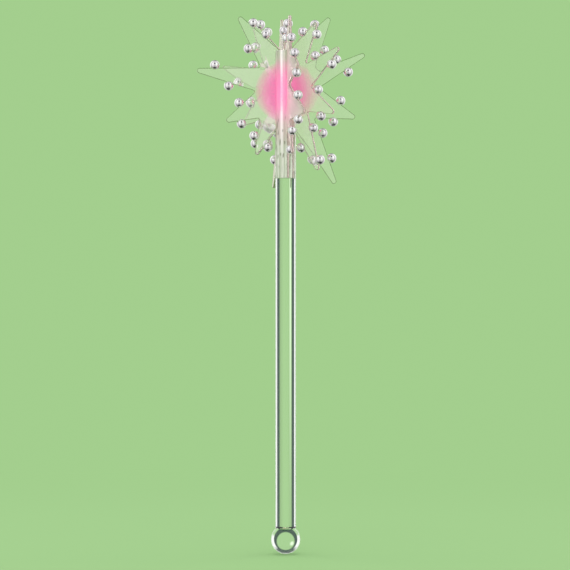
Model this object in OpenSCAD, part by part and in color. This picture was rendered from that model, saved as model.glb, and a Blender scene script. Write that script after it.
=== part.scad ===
// Clear star wand. A solid clear rod ends in a clear ball at its foot. Three clear star plates
// cross on its axis, lapped into each other and held in slots sawn down from its top.
// Silver beads are notched onto the edges of every plate.
// Millimetres, +Z up the rod. The origin is on the rod's axis, in the middle of the hand's grip.

/* [Rod] */
// Diameter of the clear rod
rod_d = 12.7; // [9:0.1:16]
// Length of the rod, from the ball's seat to its top
rod_length = 296; // [220:1:400]
// Chamfer round both ends of the rod
rod_chamfer = 0.5; // [0.2:0.1:1.2]
// Height of the middle of the grip above the rod's lower end
grip_height = 55; // [30:1:120]

/* [Ball end] */
// Diameter of the clear ball
ball_d = 18; // [14:0.5:30]

/* [Star plates] */
// Thickness of the clear sheet that the stars are cut from
plate_t = 1.5; // [0.8:0.1:2.5]
// Depth of the stars' centre below the rod's top
star_drop = 25.5; // [20:0.5:32]
// Depth of the slots that hold the plates, from the rod's top
slot_depth = 79; // [60:1:120]
// Height above the stars' centre of the notch that stands over the rod
top_notch = 22.5; // [18:0.5:26]
// Radius of the blunt tip of each point
tip_r = 1.6; // [0.6:0.1:2.4]
// Radius at the bottom of the notch between two points
notch_r = 1; // [0.3:0.1:2]
// Cement gap on each face of a plate in its slot
cement_gap = 0.05; // [0.02:0.01:0.15]
// Reach of the front plate's longest point from the stars' centre
front_reach = 64.5; // [58:0.5:80]
// Reach of the oblique plate's longest point
oblique_reach = 56; // [48:0.5:80]
// Reach of the side plate's longest point
side_reach = 66; // [58:0.5:80]
// Turn of the front plate round the rod, from the left to right plane
front_turn = 4; // [-5:1:15]
// Turn of the oblique plate round the rod
oblique_turn = -42; // [-46:1:-30]
// Turn of the side plate round the rod
side_turn = 104; // [90:1:108]

/* [Beads] */
// Diameter of each silver bead
bead_d = 6; // [4:0.1:7]
// Depth to which a plate's edge enters the notch in a bead
bead_bite = 1.2; // [0.6:0.1:2]

/* [Hidden] */
$fn = 64;
ARC_STEPS = 8;
OVERCUT = 1;

// The three stars are cut by hand and differ a little. One row for each point of a star,
// counter-clockwise from the right: the point's direction and reach from the star's centre, then the
// direction and depth of the notch that follows it.
FRONT_STAR = [
    [25.5, 54.5, 36, 22],
    [59.5, 53.5, 90, top_notch],
    [122, 54.5, 136, 21.5],
    [166.5, 56.5, 179, 18.5],
    [206.5, 41, 225, 23],
    [245, 43, 272, 15],
    [298.5, front_reach, 318, 24],
    [340, 46, 367, 21],
];
OBLIQUE_STAR = [
    [29, 49.5, 44, 23],
    [58.5, 48, 90, top_notch],
    [122, 54.5, 136, 21.5],
    [160.5, 56.5, 174, 18.5],
    [206.5, 41, 225, 23],
    [235.5, 43.5, 272, 15],
    [298.5, oblique_reach, 324, 22.5],
    [339.5, 42, 365, 21.5],
];
SIDE_STAR = [
    [25.5, 54.5, 36, 22],
    [78, 47, 90, top_notch],
    [103.5, 47.5, 119, 28.5],
    [155, 34.5, 158, 10.5],
    [199, 48.5, 235, 22.5],
    [245, 43, 272, 15],
    [298.5, side_reach, 318, 24],
    [340, 46, 367, 21],
];

// Plates in the order in which they are stacked into the rod, from the lowest lap to the highest
PLATES = [
    ["front", front_turn, FRONT_STAR],
    ["oblique", oblique_turn, OBLIQUE_STAR],
    ["side", side_turn, SIDE_STAR],
];
LAST_PLATE = len(PLATES) - 1;

// One row for each bead on a plate: the point that carries it, the flank that it sits on, the end of
// the flank that it is measured from, and its distance from there on each of the plates in turn.
CLOCKWISE = -1;
COUNTER = 1;
TIP = "tip";
NOTCH = "notch";
BEAD_SEATS = [
    [0, COUNTER, TIP, [16, 17.5, 15]],
    [0, CLOCKWISE, TIP, [13, 9, 20]],
    [1, COUNTER, TIP, [8, 10, 7.5]],
    [1, CLOCKWISE, TIP, [18.5, 5, 27]],
    [2, COUNTER, TIP, [18.5, 16, 13]],
    [2, CLOCKWISE, TIP, [7.5, 6, 4.5]],
    [2, CLOCKWISE, TIP, [18, 14, 14]],
    [3, COUNTER, TIP, [20, 16, 4]],
    [3, CLOCKWISE, TIP, [9.5, 24, 10]],
    [4, COUNTER, TIP, [7.5, 13, 13]],
    [4, CLOCKWISE, TIP, [12, 14, 17]],
    [5, COUNTER, TIP, [6.5, 9, 4]],
    [5, CLOCKWISE, TIP, [10, 2.5, 12]],
    [6, COUNTER, TIP, [14, 4, 16]],
    [6, COUNTER, NOTCH, [10.5, 11, 9]],
    [6, CLOCKWISE, NOTCH, [31, 23.5, 28]],
    [7, COUNTER, TIP, [12, 17.5, 16]],
    [7, CLOCKWISE, TIP, [12, 8.5, 10]],
];
LAST_BEAD = len(BEAD_SEATS) - 1;

function plate_node(p) = str("star_plate_", PLATES[p][0]);
function bead_node(p, b) = str("bead_", PLATES[p][0], b < 9 ? "_0" : "_", b + 1);

// Heights along the rod
rod_foot_z = -grip_height;
rod_top_z = rod_foot_z + rod_length;
star_z = rod_top_z - star_drop;
slot_floor_z = rod_top_z - slot_depth;

// The ball is cut flat to seat on the flat of the rod's lower end
ball_flat_r = rod_d / 2 - rod_chamfer;
ball_z = rod_foot_z - sqrt(pow(ball_d / 2, 2) - pow(ball_flat_r, 2));

// Slots and bead notches clear the sheet by the cement gap
slot_w = plate_t + 2 * cement_gap;
bead_offset = bead_d / 2 - bead_bite;

// Laps: each plate keeps one share of the height on the axis, and is cut away elsewhere over the
// length that the most closely crossing pair of sheets share
tang_foot = slot_floor_z - star_z + cement_gap;
lap_height = (top_notch - tang_foot) / len(PLATES);
lap_half_w = cement_gap * 2 + max([
    for (p = [0 : LAST_PLATE - 1], q = [p + 1 : LAST_PLATE])
        let (turn = PLATES[p][1] - PLATES[q][1])
            plate_t / 2 * (1 + abs(cos(turn))) / abs(sin(turn))
]);

// Plane geometry
function polar(angle, r) = r * [cos(angle), sin(angle)];
function heading(from, to) = atan2(to.y - from.y, to.x - from.x);
function sweep(from, to) = (to - from) - 360 * floor((to - from) / 360);
function arc(centre, r, start, turn) =
    [for (i = [0 : ARC_STEPS]) centre + polar(start + turn * i / ARC_STEPS, r)];

// Outline of a star. Each flank leaves its notch and runs tangent into the round of its tip.
function next_point(star, k) = (k + 1) % len(star);
function point_before(star, k) = (k + len(star) - 1) % len(star);
function tip_centre(star, k) = polar(star[k][0], star[k][1] - tip_r);
function notch_after(star, k) = polar(star[k][2], star[k][3]);
function flank_foot(star, k, side) = notch_after(star, side == COUNTER ? k : point_before(star, k));
function flank_heading(star, k, side) =
    let (foot = flank_foot(star, k, side), tip = tip_centre(star, k))
    heading(foot, tip) + side * asin(tip_r / norm(tip - foot));
function flank_normal(star, k, side) = flank_heading(star, k, side) + 90 * side;
function flank_end(star, k, side) = tip_centre(star, k) + polar(flank_normal(star, k, side), tip_r);
function tip_arc(star, k) =
    let (start = flank_normal(star, k, CLOCKWISE))
    arc(tip_centre(star, k), tip_r, start, sweep(start, flank_normal(star, k, COUNTER)));
function notch_arc(star, k) =
    let (
        down = flank_heading(star, k, COUNTER),
        gap = sweep(down, flank_heading(star, next_point(star, k), CLOCKWISE)),
        centre = notch_after(star, k) + polar(down + gap / 2, notch_r / sin(gap / 2))
    )
    arc(centre, notch_r, down - 90, gap - 180);
function star_outline(star) =
    [for (k = [0 : len(star) - 1]) each concat(tip_arc(star, k), notch_arc(star, k))];

// Stands a shape in the plane of one plate, with the star's centre at its origin
module in_plate_plane(p) {
    translate([0, 0, star_z])
        rotate([0, 0, PLATES[p][1]])
            children();
}

module rod() {
    r = rod_d / 2;
    color("honeydew", 0.4)
        difference() {
            translate([0, 0, rod_foot_z])
                rotate_extrude()
                    polygon([
                        [0, 0],
                        [r - rod_chamfer, 0],
                        [r, rod_chamfer],
                        [r, rod_length - rod_chamfer],
                        [r - rod_chamfer, rod_length],
                        [0, rod_length],
                    ]);
            for (plate = PLATES)
                rotate([0, 0, plate[1]])
                    translate([-r - OVERCUT, -slot_w / 2, slot_floor_z])
                        cube([rod_d + 2 * OVERCUT, slot_w, slot_depth + OVERCUT]);
        }
}

module ball_end() {
    color("honeydew", 0.4)
        difference() {
            translate([0, 0, ball_z])
                sphere(d = ball_d);
            translate([-ball_d / 2, -ball_d / 2, rod_foot_z])
                cube(ball_d);
        }
}

// A star with a tang as wide as the rod. Its middle is cut away below and above the lap that this
// plate keeps, so that the other plates pass through it.
module star_plate(p) {
    lap_foot = tang_foot + p * lap_height;
    lap_top = lap_foot + lap_height - cement_gap;
    color("mistyrose", 0.5)
        in_plate_plane(p)
            rotate([90, 0, 0])
                linear_extrude(plate_t, center = true)
                    difference() {
                        union() {
                            polygon(star_outline(PLATES[p][2]));
                            translate([-rod_d / 2, tang_foot])
                                square([rod_d, -tang_foot]);
                        }
                        if (p > 0)
                            translate([-lap_half_w, tang_foot - OVERCUT])
                                square([2 * lap_half_w, lap_foot - tang_foot + OVERCUT]);
                        if (p < LAST_PLATE)
                            translate([-lap_half_w, lap_top])
                                square([2 * lap_half_w, slot_depth]);
                    }
}

// A ball with one notch that straddles the edge of its plate
module bead(p, b) {
    star = PLATES[p][2];
    point = BEAD_SEATS[b][0];
    side = BEAD_SEATS[b][1];
    along = polar(flank_heading(star, point, side), BEAD_SEATS[b][3][p]);
    seat = BEAD_SEATS[b][2] == TIP ? flank_end(star, point, side) - along : flank_foot(star, point, side) + along;
    normal = flank_normal(star, point, side);
    centre = seat + polar(normal, bead_offset);
    color("silver")
        in_plate_plane(p)
            translate([centre.x, 0, centre.y])
                rotate([0, -normal, 0])
                    difference() {
                        sphere(d = bead_d);
                        translate([cement_gap - bead_offset - bead_d, -slot_w / 2, -bead_d])
                            cube([bead_d, slot_w, 2 * bead_d]);
                    }
}

rod();
ball_end();
for (p = [0 : LAST_PLATE]) {
    star_plate(p);
    for (b = [0 : LAST_BEAD])
        bead(p, b);
}
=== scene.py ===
"""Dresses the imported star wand: a clear rod with a ball at its foot and three crossed star plates
in its slotted top, each plate sprayed pink at the middle and set with silver beads.
Lengths are in metres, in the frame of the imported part, with +Z up the rod."""

import bpy
import numpy as np
from bpy.props import FloatProperty, FloatVectorProperty, PointerProperty
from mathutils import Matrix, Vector


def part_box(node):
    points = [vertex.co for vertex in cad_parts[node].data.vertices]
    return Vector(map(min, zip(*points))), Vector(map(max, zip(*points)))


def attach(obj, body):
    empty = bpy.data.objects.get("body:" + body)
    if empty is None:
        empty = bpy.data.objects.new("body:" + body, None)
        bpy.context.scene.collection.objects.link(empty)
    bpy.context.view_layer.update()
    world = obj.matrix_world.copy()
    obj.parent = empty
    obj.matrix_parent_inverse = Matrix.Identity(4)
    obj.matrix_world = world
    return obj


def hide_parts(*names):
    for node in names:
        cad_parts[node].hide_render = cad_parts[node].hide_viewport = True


bl_info = {
    "name": "Star wand",
    "version": (1, 0, 0),
    "blender": (4, 5, 0),
    "location": "View3D > Sidebar > Star wand",
    "description": "Builds a clear star wand with silver beads round its packed frame",
    "category": "Add Mesh",
}

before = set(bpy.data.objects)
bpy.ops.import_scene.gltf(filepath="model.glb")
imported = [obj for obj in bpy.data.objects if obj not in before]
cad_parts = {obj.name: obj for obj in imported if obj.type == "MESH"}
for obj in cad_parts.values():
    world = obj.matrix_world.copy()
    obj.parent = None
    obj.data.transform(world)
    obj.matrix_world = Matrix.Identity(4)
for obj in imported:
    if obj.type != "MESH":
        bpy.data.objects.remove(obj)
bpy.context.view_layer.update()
ROD_LOW, ROD_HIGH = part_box("rod")
BALL_LOW, BALL_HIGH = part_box("ball_end")

MM = 0.001
BODY = "root"
PLATES = ("front", "oblique", "side")
CLEAR_PIECES = ("clear_rod", "clear_ball")

# What polishing takes off an outline, and the refractive index of acrylic.
POLISH = 0.002 * MM
ACRYLIC_IOR = 1.49

# How much of the sprayed pink drifted over each plate, and what counts as little or much of it.
MIST = (0.1, 0.25, 1.0)
LIGHT_MIST, HEAVY_MIST = 0.15, 0.5

# Share of the cement gap that the sprayed coat stands off its plate, and share of its radius drawn.
COAT_SHARE, COAT_REACH = 0.4, 0.995

# Steps round each tip and notch of a star, and the places of materials on the rod and on a plate.
TIP_STEPS, NOTCH_STEPS = 13, 9
SAWN, MILKY = 1, 2
FACE, ROUNDED, CUT = 0, 1, 2

# Shares of half a turn at which a bead's plain slices stop and close, and the lean of its slot's
# walls where the slot is narrow.
PLAIN_ARC, CLOSING_START, CLOSING_SPAN, SLOT_LEAN = 0.8, 0.78, 0.2, 0.6

# Sockets of a Mix node that carry its factor and its colours.
MIX_FACTOR, MIX_FIRST, MIX_SECOND, MIX_RESULT = 0, 6, 7, 2
WHITE, BLACK = (1.0, 1.0, 1.0), (0.0, 0.0, 0.0)

# The stage: its floor, the spheres of light round the wand, what those of the rod and the ball
# show, and the camera, which looks level along +Y.
FLOOR_REACH, FLOOR_GAP = 30.0, 0.2 * MM
TENT_RADIUS, BACKDROP_RADIUS, BALL_TENT_RADIUS = 8.0, 9.0, 1.0
DOME_RADIUS, RIM_RADIUS, DOME_HEIGHT = 2.5, 2.4, 0.2
STRIP_BEARING, RING_TILT = np.radians(19.0), np.radians(6.9)
SPOT_DIRECTION = (-0.308, 0.947, 0.094)
TENT_WHITE = (1.05, 1.05, 1.05)
VIEW_MIDDLE = (-0.0004, 0.0, 0.0958)
VIEW_HALF_WIDTH, CAMERA_DISTANCE, SENSOR_WIDTH = 0.1767, 1.3, 36.0

# Each lamp's name, place, target, width, height and radiance.
SIDE_X, SIDE_Y = np.sin(np.radians(72.0)), np.cos(np.radians(72.0))
LAMPS = (
    ("softbox_left", (-SIDE_X, SIDE_Y, 0.3), (0, 0, 0.18), 0.9, 0.9, 1.25),
    ("softbox_right", (SIDE_X, SIDE_Y, 0.3), (0, 0, 0.18), 0.9, 0.9, 1.25),
    ("softbox_top", (0.0, -0.1, 1.4), (0, 0, 0.2), 1.4, 1.1, 1.25),
    ("softbox_front", (0.0, -1.9, 0.5), (0, 0, 0.18), 2.4, 1.1, 1.2),
    ("softbox_low", (0.0, -0.6, -0.06), (0, -0.6, 1.0), 1.0, 0.9, 0.7),
)

# One row for each point of the front, oblique and side plates' stars, counter-clockwise from the
# right: the point's direction and reach from the star's centre, then the direction and depth of the
# notch after it, in degrees and mm.
STAR_POINTS = np.array([
    [25.5, 54.5, 36, 22],
    [59.5, 53.5, 90, 22.5],
    [122, 54.5, 136, 21.5],
    [166.5, 56.5, 179, 18.5],
    [206.5, 41, 225, 23],
    [245, 43, 272, 15],
    [298.5, 64.5, 318, 24],
    [340, 46, 367, 21],
    [29, 49.5, 44, 23],
    [58.5, 48, 90, 22.5],
    [122, 54.5, 136, 21.5],
    [160.5, 56.5, 174, 18.5],
    [206.5, 41, 225, 23],
    [235.5, 43.5, 272, 15],
    [298.5, 56, 324, 22.5],
    [339.5, 42, 365, 21.5],
    [25.5, 54.5, 36, 22],
    [78, 47, 90, 22.5],
    [103.5, 47.5, 119, 28.5],
    [155, 34.5, 158, 10.5],
    [199, 48.5, 235, 22.5],
    [245, 43, 272, 15],
    [298.5, 66, 318, 24],
    [340, 46, 367, 21],
]).reshape(len(PLATES), -1, 4)
TOP_NOTCH, TANG_NOTCH, LONGEST = 1, 5, 6

# One row for each bead on a plate: its point, its flank (1 counter-clockwise, -1 clockwise),
# whether it is measured from the notch, and its distance in mm on each of the three plates.
BEAD_SEATS = np.array([
    [0, 1, 0, 16, 17.5, 15],
    [0, -1, 0, 13, 9, 20],
    [1, 1, 0, 8, 10, 7.5],
    [1, -1, 0, 18.5, 5, 27],
    [2, 1, 0, 18.5, 16, 13],
    [2, -1, 0, 7.5, 6, 4.5],
    [2, -1, 0, 18, 14, 14],
    [3, 1, 0, 20, 16, 4],
    [3, -1, 0, 9.5, 24, 10],
    [4, 1, 0, 7.5, 13, 13],
    [4, -1, 0, 12, 14, 17],
    [5, 1, 0, 6.5, 9, 4],
    [5, -1, 0, 10, 2.5, 12],
    [6, 1, 0, 14, 4, 16],
    [6, 1, 1, 10.5, 11, 9],
    [6, -1, 1, 31, 23.5, 28],
    [7, 1, 0, 12, 17.5, 16],
    [7, -1, 0, 12, 8.5, 10],
])


def length_property(name, description, default):
    """A length that the user can change, in metres."""
    return FloatProperty(
        name=name, description=description, default=default, min=0.0, precision=5, unit="LENGTH"
    )


def angle_property(name, description, degrees):
    """An angle that the user can change, given in degrees."""
    return FloatProperty(
        name=name, description=description, default=np.radians(degrees), subtype="ANGLE"
    )


def colour_property(name, description, default):
    """A linear colour that the user can change."""
    limits = {"size": 3, "min": 0.0, "max": 1.0, "subtype": "COLOR"}
    return FloatVectorProperty(name=name, description=description, default=default, **limits)


class WandSizes(bpy.types.PropertyGroup):
    """Sizes of the wand's pieces."""

    rod_diameter: length_property("Rod diameter", "Diameter of the rod", ROD_HIGH.x - ROD_LOW.x)
    rod_chamfer: length_property("Rod chamfer", "Chamfer round both ends of the rod", 0.5 * MM)
    slot_depth: length_property("Slot depth", "Depth of the slots from the rod's top", 79 * MM)
    star_drop: length_property("Star drop", "Stars' centre below the rod's top", 25.5 * MM)
    cement_gap: length_property("Cement gap", "Gap on each face of a plate in its slot", 0.05 * MM)
    ball_diameter: length_property("Ball diameter", "Diameter of the clear ball", 18 * MM)
    sheet: length_property("Sheet", "Thickness of the sheet that the stars are cut from", 1.5 * MM)
    edge_round: length_property("Edge round", "Radius of the sheet's polished edges", 0.35 * MM)
    tip_radius: length_property("Tip radius", "Radius of the blunt tip of each point", 1.6 * MM)
    notch_radius: length_property("Notch radius", "Radius at the bottom of each notch", 1.0 * MM)
    front_reach: length_property("Front reach", "Longest reach of the front plate", 64.5 * MM)
    oblique_reach: length_property("Oblique reach", "Longest reach of the oblique plate", 56 * MM)
    side_reach: length_property("Side reach", "Longest reach of the side plate", 66 * MM)
    front_turn: angle_property("Front turn", "Turn of the front plate round the rod", 4)
    oblique_turn: angle_property("Oblique turn", "Turn of the oblique plate round the rod", -42)
    side_turn: angle_property("Side turn", "Turn of the side plate round the rod", 104)
    bead_diameter: length_property("Bead diameter", "Diameter of each silver bead", 6 * MM)
    bead_bite: length_property("Bead bite", "Depth of a plate's edge in a bead's notch", 1.2 * MM)
    fade_radius: length_property("Fade radius", "Radius at which the sprayed pink ends", 19.0 * MM)


class WandFinish(bpy.types.PropertyGroup):
    """Colours of the wand's finishes and of the stage."""

    acrylic: colour_property("Acrylic", "Tint of the clear acrylic", (0.985, 0.995, 0.985))
    pink: colour_property("Pink", "Colour of the sprayed fade's middle", (0.86, 0.17, 0.42))
    pink_edge: colour_property("Pink edge", "Colour of the sprayed fade's rim", (0.93, 0.42, 0.60))
    silver: colour_property("Silver", "Colour of the beads", (0.93, 0.92, 0.94))
    stage: colour_property("Stage", "Colour of the floor and the background", (0.37, 0.62, 0.27))


# Plane geometry of a star


def unit(angle):
    """Unit vectors in the directions of an array of angles."""
    return np.stack([np.cos(angle), np.sin(angle)], axis=-1)


def star_centre(sizes):
    """Height of the stars' centre."""
    return ROD_HIGH.z - sizes.star_drop


def plate_turns(sizes):
    """Turn of each plate round the rod."""
    return np.array([getattr(sizes, f"{name}_turn") for name in PLATES])


def turned_arcs(centre, radius, start, turn, steps):
    """Arcs round many centres at once: each point is its centre plus the radius at an even share of
    the turn."""
    share = np.linspace(0.0, 1.0, steps)
    return centre[:, None] + radius * unit(start[:, None] + turn[:, None] * share)


class Star:
    """Tips, notches and flanks of one plate's star, in the plane of the plate."""

    def __init__(self, sizes, plate):
        points = STAR_POINTS[plate].T * [[1], [MM], [1], [MM]]
        direction, reach, notch_direction, notch_depth = points
        reach[LONGEST] = getattr(sizes, f"{PLATES[plate]}_reach")
        self.sizes = sizes
        self.plate = plate
        self.turn = plate_turns(sizes)[plate]
        self.tip = (reach - sizes.tip_radius)[:, None] * unit(np.radians(direction))
        self.notch = notch_depth[:, None] * unit(np.radians(notch_direction))

    def flanks(self, side):
        """Foot, heading, outward normal and outer end of each point's flank on one side. A flank
        leaves the notch and runs tangent into the round of the tip, so it leans off the line to the
        tip's centre by the arcsine of the tip's radius over their distance."""
        foot = self.notch if side > 0 else np.roll(self.notch, 1, axis=0)
        span = self.tip - foot
        lean = np.arcsin(self.sizes.tip_radius / np.linalg.norm(span, axis=1))
        heading = np.arctan2(span[:, 1], span[:, 0]) + side * lean
        normal = heading + side * np.pi / 2
        return foot, heading, normal, self.tip + self.sizes.tip_radius * unit(normal)

    def where_flank_meets(self, point, side, across):
        """Point of a flank at a given distance across from the rod's axis."""
        foot, heading, _, _ = self.flanks(side)
        return [across, foot[point, 1] + (across - foot[point, 0]) * np.tan(heading[point])]

    def laps(self):
        """Foot of the tang, the lap's foot and top and the half width of the cut round the axis.
        The cut spans what the most closely crossing pair of sheets share."""
        s = self.sizes
        turns = plate_turns(s)
        apart = (turns[:, None] - turns[None, :])[np.triu_indices(len(PLATES), 1)]
        reach = s.sheet / 2 * (1 + np.abs(np.cos(apart))) / np.abs(np.sin(apart))
        foot = s.star_drop - s.slot_depth + s.cement_gap
        share = (self.notch[TOP_NOTCH, 1] - foot) / len(PLATES)
        low = foot + self.plate * share
        return foot, low, low + share - s.cement_gap, reach.max() + 2 * s.cement_gap

    def outline(self):
        """Closed outline, counter-clockwise: rounds at the tips and notches, the tang in place of
        the notch over the rod, and the cuts that let the other plates pass."""
        s = self.sizes
        _, up, right_normal, _ = self.flanks(-1)
        _, down, left_normal, _ = self.flanks(1)
        bend = (left_normal - right_normal) % (2 * np.pi)
        tips = turned_arcs(self.tip, s.tip_radius, right_normal, bend, TIP_STEPS)
        gap = (np.roll(up, -1) - down) % (2 * np.pi)
        centres = self.notch + (s.notch_radius / np.sin(gap / 2))[:, None] * unit(down + gap / 2)
        start, bend = down - np.pi / 2, gap - np.pi
        notches = list(turned_arcs(centres, s.notch_radius, start, bend, NOTCH_STEPS))

        foot, low, high, half = self.laps()
        edge = s.rod_diameter / 2
        passage = [[-half, foot], [-half, low], [half, low], [half, foot]] if self.plate > 0 else []
        notches[TANG_NOTCH] = np.array(
            [self.where_flank_meets(TANG_NOTCH, 1, -edge), [-edge, foot]]
            + passage
            + [[edge, foot], self.where_flank_meets(TANG_NOTCH + 1, -1, edge)]
        )
        if self.plate < len(PLATES) - 1:
            notches[TOP_NOTCH] = np.array(
                [
                    self.where_flank_meets(TOP_NOTCH, 1, half),
                    [half, high],
                    [-half, high],
                    self.where_flank_meets(TOP_NOTCH + 1, -1, -half),
                ]
            )
        return np.concatenate([part for pair in zip(tips, notches) for part in pair])

    def bead_seats(self):
        """Centre of each bead and the outward normal of the flank that it sits on."""
        point, flank, from_notch, *distances = BEAD_SEATS.T
        point, counter, from_notch = point.astype(int), flank > 0, from_notch > 0
        along = distances[self.plate] * MM
        foot, heading, normal, end = (
            np.where(counter.reshape((-1,) + (1,) * (a.ndim - 1)), a[point], b[point])
            for a, b in zip(self.flanks(1), self.flanks(-1))
        )
        step = along[:, None] * unit(heading)
        seat = np.where(from_notch[:, None], foot + step, end - step)
        return seat + (self.sizes.bead_diameter / 2 - self.sizes.bead_bite) * unit(normal), normal

    def in_space(self, across, up, out):
        """Places plane coordinates, and a distance out towards the front, in the wand's frame."""
        return np.stack(
            [
                across * np.cos(self.turn) + out * np.sin(self.turn),
                across * np.sin(self.turn) - out * np.cos(self.turn),
                star_centre(self.sizes) + up,
            ],
            axis=-1,
        )


# Meshes


def ring_faces(rows, columns, first=0, wrap=True):
    """Quads between neighbouring rows of a grid of vertices, whose last column may be joined to the
    first."""
    row = np.arange(rows - 1)[:, None] * columns + first
    here = np.arange(columns if wrap else columns - 1)[None, :]
    after = (here + 1) % columns
    quads = [row + here, row + after, row + columns + after, row + columns + here]
    return np.stack(quads, axis=-1).reshape(-1, 4).tolist()


def make_mesh(name, vertices, faces, flat_faces=(), sharp=35.0):
    """A mesh of smooth faces followed by flat ones, with edges sharper than an angle left hard."""
    mesh = bpy.data.meshes.new(name)
    mesh.from_pydata(np.asarray(vertices).tolist(), [], list(faces) + list(flat_faces))
    smooth = np.ones(len(mesh.polygons), bool)
    smooth[len(faces) :] = False
    mesh.polygons.foreach_set("use_smooth", smooth)
    mesh.set_sharp_from_angle(angle=np.radians(sharp))
    mesh.update()
    return mesh


def add_piece(name, mesh, materials, slot, *nodes):
    """Puts a mesh in the scene as a piece that rides on the wand and stands for CAD nodes."""
    piece = bpy.data.objects.new(name, mesh)
    bpy.context.scene.collection.objects.link(piece)
    for material in materials:
        mesh.materials.append(material)
    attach(piece, BODY)
    if nodes:
        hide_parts(*nodes)
    return piece


def rod_mesh(sizes, arc_steps=22, mouth_steps=3):
    """A cylinder with chamfered ends whose top is split into prongs. The slots' ends are sorted
    round the rod: a prong spans the arc between two of them, and its two walls meet at the half
    slot width over the sine of half the angle between them. Each point keeps its share of the way
    across its prong."""
    radius, chamfer = sizes.rod_diameter / 2, sizes.rod_chamfer
    half = sizes.sheet / 2 + sizes.cement_gap
    foot, top = ROD_LOW.z, ROD_HIGH.z
    floor = top - sizes.slot_depth
    turns = plate_turns(sizes)
    start = np.sort(np.concatenate([turns, turns + np.pi]) % (2 * np.pi))
    end = np.append(start[1:], start[0] + 2 * np.pi)
    prongs = len(start)

    def prong_arcs(at):
        shift = np.arcsin(half / at)
        span = (end - start - 2 * shift)[:, None]
        return (start + shift)[:, None] + span * np.linspace(0, 1, arc_steps)

    def ring(angles, at, z):
        flat = at * unit(angles.reshape(-1))
        return np.column_stack([flat, np.full(len(flat), z)])

    shift = np.arcsin(half / radius)
    mouths = end[:, None] + shift * np.linspace(-1, 1, mouth_steps + 2)[1:-1]
    round_rod = np.concatenate([prong_arcs(radius), mouths], axis=1)
    count = round_rod.size
    apex = (half / np.sin((end - start) / 2))[:, None] * unit((start + end) / 2)
    vertices = np.concatenate(
        [
            ring(round_rod, radius - chamfer, foot),
            ring(round_rod, radius, foot + chamfer),
            ring(round_rod, radius, floor),
            ring(prong_arcs(radius), radius, top - chamfer),
            ring(prong_arcs(radius - chamfer), radius - chamfer, top),
            np.column_stack([apex, np.full(prongs, floor)]),
            np.column_stack([apex, np.full(prongs, top)]),
        ]
    )
    at_floor = (2 * count + np.arange(count)).reshape(prongs, -1)
    below, mouth = at_floor[:, :arc_steps], at_floor[:, arc_steps:]
    edge = (3 * count + np.arange(prongs * arc_steps)).reshape(prongs, -1)
    rim = edge + prongs * arc_steps
    low_apex = rim[-1, -1] + 1 + np.arange(prongs)
    high_apex = low_apex + prongs

    def strips(low, high):
        quads = [low[:, :-1], low[:, 1:], high[:, 1:], high[:, :-1]]
        return np.stack(quads, axis=-1).reshape(-1, 4).tolist()

    plain = ring_faces(3, count)
    skin = plain + strips(below, edge) + strips(edge, rim)
    ends = [list(range(count - 1, -1, -1))]
    walls = np.concatenate(
        [
            np.column_stack([below[:, -1], low_apex, high_apex, rim[:, -1], edge[:, -1]]),
            np.column_stack([low_apex, below[:, 0], edge[:, 0], rim[:, 0], high_apex]),
        ]
    ).tolist()
    tops = np.column_stack([rim, high_apex]).tolist()
    floor_rim = np.column_stack(
        [below[:, -1], mouth, np.roll(below[:, 0], -1), np.roll(low_apex, -1)]
    ).reshape(-1)
    sawn = walls + tops + [floor_rim.tolist()]
    mesh = make_mesh("rod", vertices, skin, ends + sawn)
    finish = np.zeros(len(mesh.polygons), np.int32)
    finish[len(plain) : len(skin)] = MILKY
    finish[len(skin) + len(ends) :] = SAWN
    mesh.polygons.foreach_set("material_index", finish)
    share = np.linspace(0.0, 1.0, arc_steps)
    round_share = np.tile(np.append(share, np.ones(mouth_steps)), 3 * prongs)
    across = np.concatenate([round_share, np.tile(share, 2 * prongs), np.zeros(2 * prongs)])
    mesh.attributes.new("across", "FLOAT", "POINT").data.foreach_set("value", across)
    return mesh


def sphere_points(radius, polar, columns):
    """Points of a sphere in rows, each at a polar angle from the lowest point."""
    turn = np.linspace(0.0, 2 * np.pi, columns, endpoint=False)
    level = radius * np.sin(polar)[:, None, None] * unit(turn)
    height = np.broadcast_to(-radius * np.cos(polar)[:, None, None], (*level.shape[:2], 1))
    return np.concatenate([level, height], axis=-1).reshape(-1, 3)


def ball_mesh(sizes, rings=56, columns=112):
    """A sphere cut flat to seat on the rod: the polar angle runs from the lowest point to the
    flat."""
    radius = sizes.ball_diameter / 2
    seam = sizes.cement_gap
    seat_radius = sizes.rod_diameter / 2 - sizes.rod_chamfer
    centre_z = ROD_LOW.z - np.sqrt(radius**2 - seat_radius**2)
    last = np.arccos((centre_z - ROD_LOW.z + seam) / radius)
    polar = np.linspace(0.0, last, rings + 1)[1:]
    grid = sphere_points(radius, polar, columns) + [0.0, 0.0, centre_z]
    vertices = np.concatenate([grid, [[0.0, 0.0, centre_z - radius]]])
    here = np.arange(columns)
    fan = np.column_stack([np.full(columns, len(grid)), (here + 1) % columns, here]).tolist()
    seat = (len(grid) - columns + here).tolist()
    return make_mesh("ball_end", vertices, ring_faces(rings, columns) + fan, [seat])


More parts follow.
